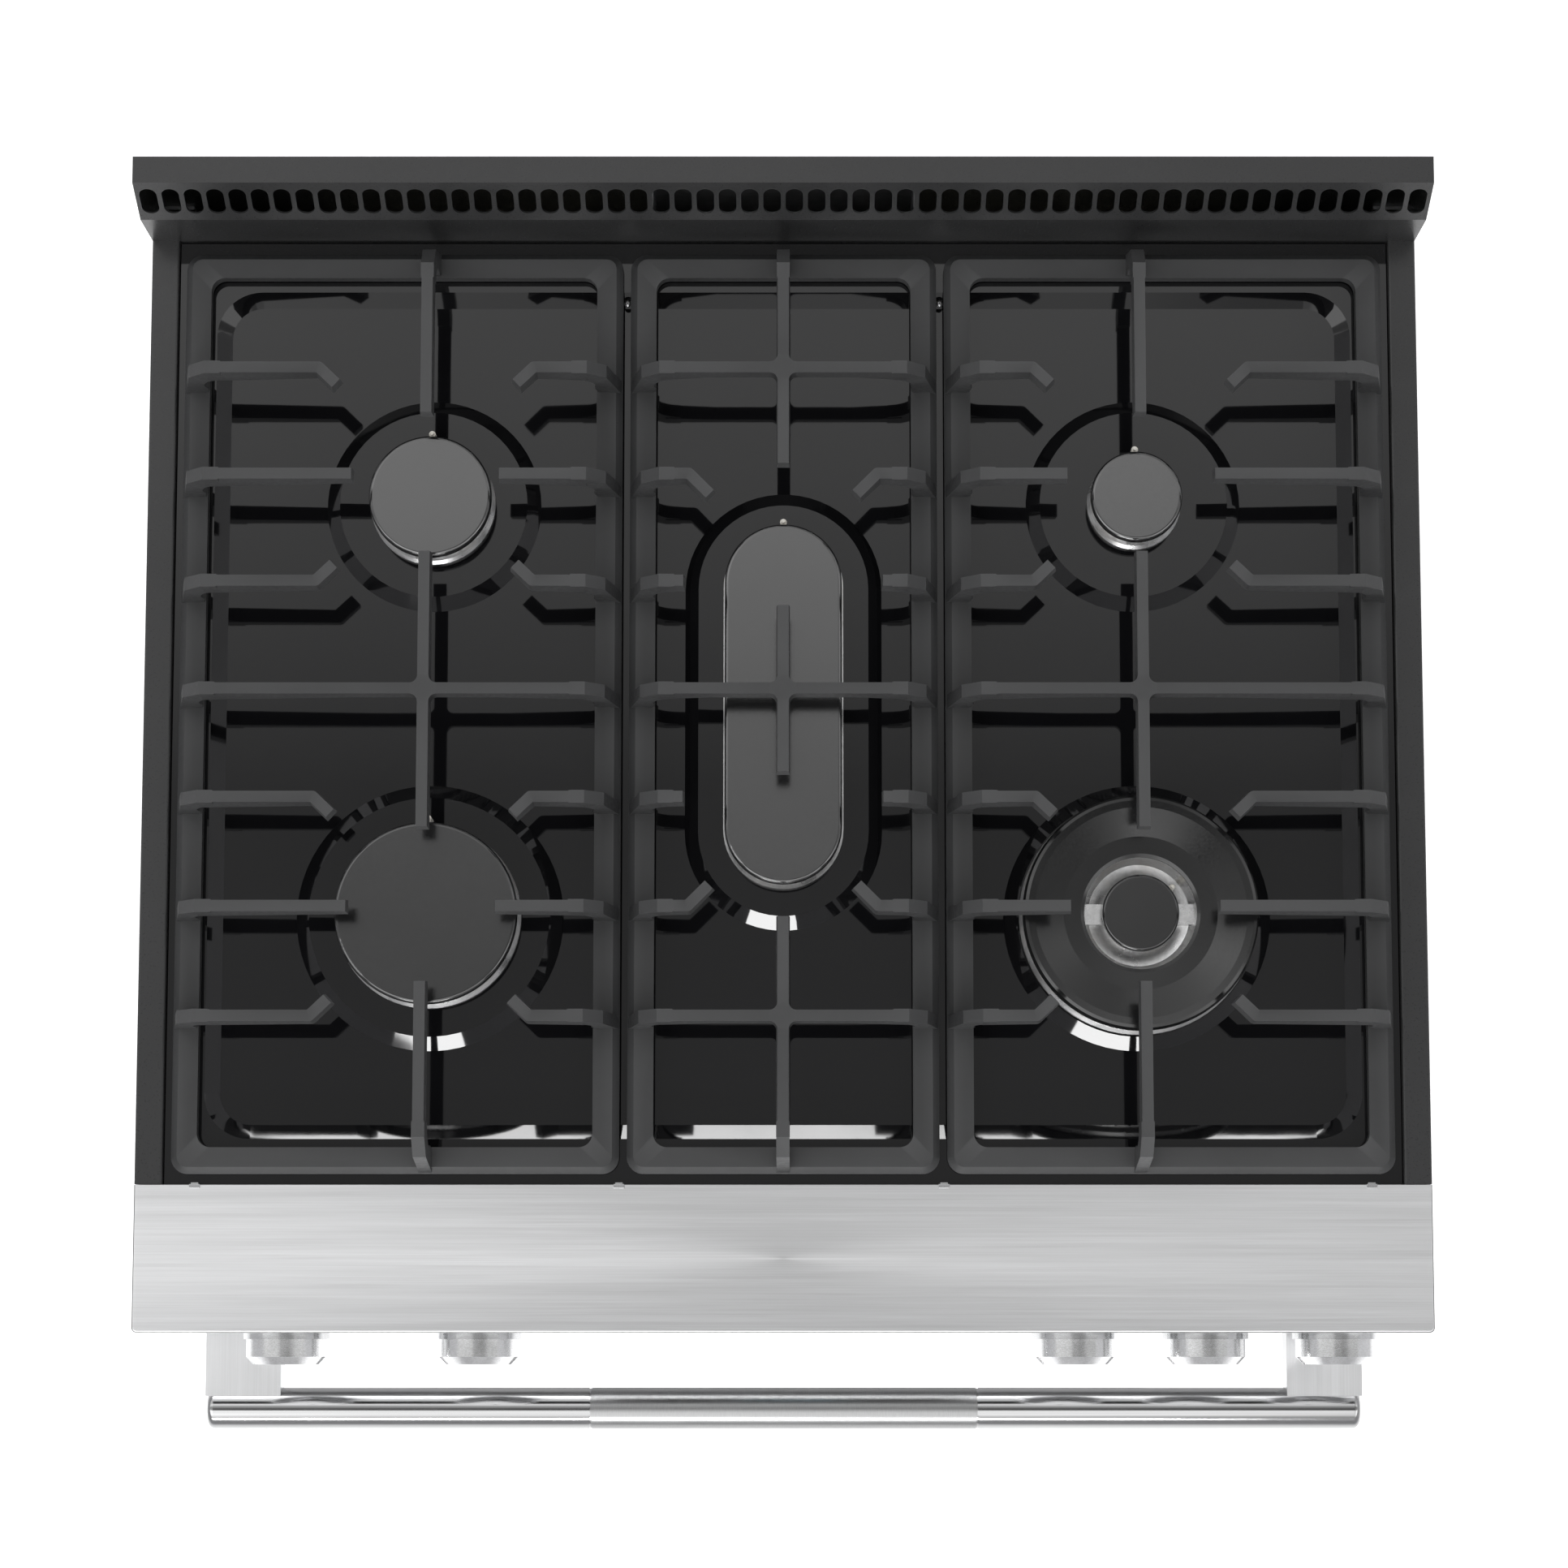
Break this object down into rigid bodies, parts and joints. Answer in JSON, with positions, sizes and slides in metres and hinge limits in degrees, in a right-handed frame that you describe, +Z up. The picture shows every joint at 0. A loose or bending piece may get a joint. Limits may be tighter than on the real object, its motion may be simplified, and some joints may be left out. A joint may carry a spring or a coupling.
{
  "type": "freestanding gas range",
  "caption": "Freestanding gas range with cast-iron grates over sealed burners, slotted backguard, front knobs, drop-down oven door with tube handle, racks and storage drawer.",
  "frame": {"origin": "on the floor, below the centre of the overall box, handle included", "axes": "+X to the user's right, +Y from front to back, +Z up"},
  "size_m": [0.759, 0.74, 0.985],
  "materials": {
    "galvanised_steel": "zinc-coated, satin",
    "black_casing": "black, satin",
    "brushed_steel": "fine horizontal brushing",
    "porcelain": "black porcelain enamel, high gloss",
    "oven_enamel": "dark blue speckled enamel, gloss",
    "display_glass": "black glass",
    "window_glass": "dark tinted glass",
    "burner_aluminium": "machined",
    "cap_enamel": "matte black enamel",
    "grate_iron": "matte black enamel over cast iron",
    "electrode_ceramic": "white ceramic",
    "knob_metal": "turned and polished metal",
    "polished_steel": "polished steel",
    "stem_steel": "machined",
    "valve_brass": "machined brass",
    "gas_pipe": "zinc-coated pipe",
    "feed_aluminium": "drawn tube",
    "mineral_wool": "glass wool blanket",
    "burner_steel": "aluminised tube",
    "rack_chrome": "bright wire",
    "lamp_glass": "clear glass",
    "gasket": "woven glass-fibre gasket",
    "inlet_plastic": "moulded",
    "foot_plastic": "moulded"
  },
  "bodies": {
    "body": {"base_frame": "galvanised_steel", "side_panels": "black_casing", "rear_cover": "black_casing", "power_inlet": "inlet_plastic", "kick_panel": "galvanised_steel", "front_ledge": "brushed_steel", "side_rails": "black_casing", "control_panel": "brushed_steel", "oven_control": "display_glass", "cooktop_pan": "porcelain", "burner_heads": "burner_aluminium", "igniters": "electrode_ceramic", "backguard": "black_casing", "flue_duct": "galvanised_steel", "knob_bezels": "polished_steel", "burner_valves": "valve_brass", "gas_manifold": "gas_pipe", "feed_tubes": "feed_aluminium", "oven_liner": "oven_enamel", "oven_insulation": "mineral_wool", "oven_floor": "oven_enamel", "oven_burners": "burner_steel", "rack_guides": "rack_chrome", "oven_lamp": "lamp_glass", "door_seal": "gasket", "hinge_receivers": "galvanised_steel", "drawer_rails": "galvanised_steel"},
    "door": {"door_frame": "brushed_steel", "door_glass": "window_glass", "door_liner": "oven_enamel", "door_hinges": "galvanised_steel", "handle_tube": "polished_steel", "handle_brackets": "polished_steel"},
    "drawer": {"drawer_front": "brushed_steel", "drawer_box": "galvanised_steel"},
    "stem_lr": {"stem_lr": "stem_steel"},
    "knob_lr": {"knob_lr": "knob_metal"},
    "stem_lf": {"stem_lf": "stem_steel"},
    "knob_lf": {"knob_lf": "knob_metal"},
    "stem_c": {"stem_c": "stem_steel"},
    "knob_c": {"knob_c": "knob_metal"},
    "stem_rf": {"stem_rf": "stem_steel"},
    "knob_rf": {"knob_rf": "knob_metal"},
    "stem_rr": {"stem_rr": "stem_steel"},
    "knob_rr": {"knob_rr": "knob_metal"},
    "grate_left": {"grate_left": "grate_iron"},
    "grate_centre": {"grate_centre": "grate_iron"},
    "grate_right": {"grate_right": "grate_iron"},
    "cap_lr": {"cap_lr": "cap_enamel"},
    "cap_lf": {"cap_lf": "cap_enamel"},
    "cap_rr": {"cap_rr": "cap_enamel"},
    "cap_c": {"cap_c": "cap_enamel"},
    "cap_rf_ring": {"cap_rf_ring": "cap_enamel"},
    "cap_rf_centre": {"cap_rf_centre": "cap_enamel"},
    "rack_lower": {"rack_lower": "rack_chrome"},
    "rack_upper": {"rack_upper": "rack_chrome"},
    "foot_fl": {"foot_fl": "foot_plastic"},
    "foot_fr": {"foot_fr": "foot_plastic"},
    "foot_rl": {"foot_rl": "foot_plastic"},
    "foot_rr": {"foot_rr": "foot_plastic"}
  },
  "joints": [
    {"name": "door_hinge", "type": "hinge", "parent": "body", "child": "door", "pos_m": [0, -0.285, 0.261], "axis": [1, 0, 0], "range_deg": [0, 90], "stiffness_Nm_per_rad": 12, "springref_deg": -28.65},
    {"name": "drawer_slide", "type": "slide", "parent": "body", "child": "drawer", "axis": [0, -1, 0], "range_m": [0, 0.38]},
    {"name": "turn_lr", "type": "hinge", "parent": "body", "child": "stem_lr", "pos_m": [-0.297, -0.292, 0.854], "axis": [0, -1, 0], "range_deg": [0, 270]},
    {"name": "push_lr", "type": "slide", "parent": "stem_lr", "child": "knob_lr", "axis": [0, 1, 0], "range_m": [0, 0.003], "stiffness_N_per_m": 600},
    {"name": "turn_lf", "type": "hinge", "parent": "body", "child": "stem_lf", "pos_m": [-0.182, -0.292, 0.854], "axis": [0, -1, 0], "range_deg": [0, 270]},
    {"name": "push_lf", "type": "slide", "parent": "stem_lf", "child": "knob_lf", "axis": [0, 1, 0], "range_m": [0, 0.003], "stiffness_N_per_m": 600},
    {"name": "turn_c", "type": "hinge", "parent": "body", "child": "stem_c", "pos_m": [0.174, -0.292, 0.854], "axis": [0, -1, 0], "range_deg": [0, 270]},
    {"name": "push_c", "type": "slide", "parent": "stem_c", "child": "knob_c", "axis": [0, 1, 0], "range_m": [0, 0.003], "stiffness_N_per_m": 600},
    {"name": "turn_rf", "type": "hinge", "parent": "body", "child": "stem_rf", "pos_m": [0.252, -0.292, 0.854], "axis": [0, -1, 0], "range_deg": [0, 270]},
    {"name": "push_rf", "type": "slide", "parent": "stem_rf", "child": "knob_rf", "axis": [0, 1, 0], "range_m": [0, 0.003], "stiffness_N_per_m": 600},
    {"name": "turn_rr", "type": "hinge", "parent": "body", "child": "stem_rr", "pos_m": [0.33, -0.292, 0.854], "axis": [0, -1, 0], "range_deg": [0, 270]},
    {"name": "push_rr", "type": "slide", "parent": "stem_rr", "child": "knob_rr", "axis": [0, 1, 0], "range_m": [0, 0.003], "stiffness_N_per_m": 600},
    {"name": "lift_grate_left", "type": "slide", "parent": "body", "child": "grate_left", "axis": [0, 0, 1], "range_m": [0, 0.15]},
    {"name": "lift_grate_centre", "type": "slide", "parent": "body", "child": "grate_centre", "axis": [0, 0, 1], "range_m": [0, 0.15]},
    {"name": "lift_grate_right", "type": "slide", "parent": "body", "child": "grate_right", "axis": [0, 0, 1], "range_m": [0, 0.15]},
    {"name": "lift_cap_lr", "type": "slide", "parent": "body", "child": "cap_lr", "axis": [0, 0, 1], "range_m": [0, 0.1]},
    {"name": "lift_cap_lf", "type": "slide", "parent": "body", "child": "cap_lf", "axis": [0, 0, 1], "range_m": [0, 0.012]},
    {"name": "lift_cap_rr", "type": "slide", "parent": "body", "child": "cap_rr", "axis": [0, 0, 1], "range_m": [0, 0.1]},
    {"name": "lift_cap_c", "type": "slide", "parent": "body", "child": "cap_c", "axis": [0, 0, 1], "range_m": [0, 0.012]},
    {"name": "lift_cap_rf_ring", "type": "slide", "parent": "body", "child": "cap_rf_ring", "axis": [0, 0, 1], "range_m": [0, 0.012]},
    {"name": "lift_cap_rf_centre", "type": "slide", "parent": "body", "child": "cap_rf_centre", "axis": [0, 0, 1], "range_m": [0, 0.1]},
    {"name": "slide_rack_lower", "type": "slide", "parent": "body", "child": "rack_lower", "axis": [0, -1, 0], "range_m": [0, 0.022]},
    {"name": "slide_rack_upper", "type": "slide", "parent": "body", "child": "rack_upper", "axis": [0, -1, 0], "range_m": [0, 0.022]},
    {"name": "level_foot_fl", "type": "slide", "parent": "body", "child": "foot_fl", "axis": [0, 0, -1], "range_m": [0, 0.02]},
    {"name": "level_foot_fr", "type": "slide", "parent": "body", "child": "foot_fr", "axis": [0, 0, -1], "range_m": [0, 0.02]},
    {"name": "level_foot_rl", "type": "slide", "parent": "body", "child": "foot_rl", "axis": [0, 0, -1], "range_m": [0, 0.02]},
    {"name": "level_foot_rr", "type": "slide", "parent": "body", "child": "foot_rr", "axis": [0, 0, -1], "range_m": [0, 0.02]}
  ]
}
